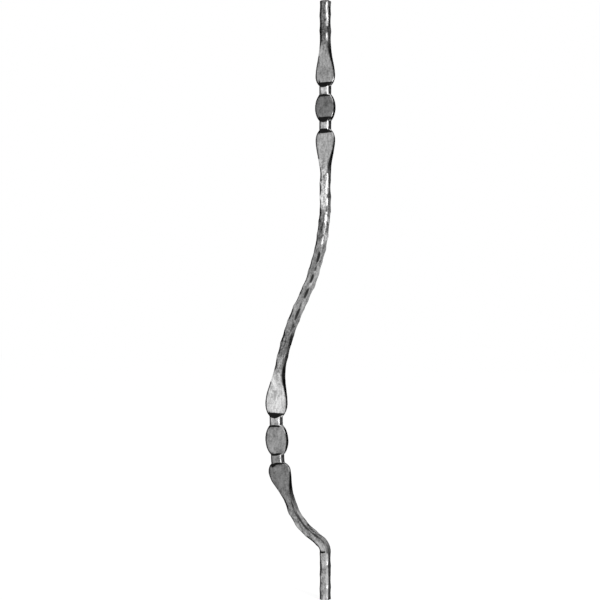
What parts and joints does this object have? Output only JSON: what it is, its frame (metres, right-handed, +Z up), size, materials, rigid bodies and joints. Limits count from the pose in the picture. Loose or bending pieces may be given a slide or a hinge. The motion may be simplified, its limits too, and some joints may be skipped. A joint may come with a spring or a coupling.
{
  "type": "wrought iron baluster",
  "caption": "Forged square-bar belly baluster with hammered corners and knuckle groups of paddles, necks and a flat oval, bent in a long swan curve.",
  "frame": {"origin": "centre of the square bottom end", "axes": "+Z up along the straight ends of the bar, -X towards the belly, Y square to the broad faces of the knuckles"},
  "size_m": [0.131, 0.0188, 1],
  "materials": {
    "forged_iron": "raw forged steel: grey brushed faces, dark mill scale in the hollows, bright worn corners"
  },
  "bodies": {
    "root": {"baluster": "forged_iron"}
  },
  "joints": []
}
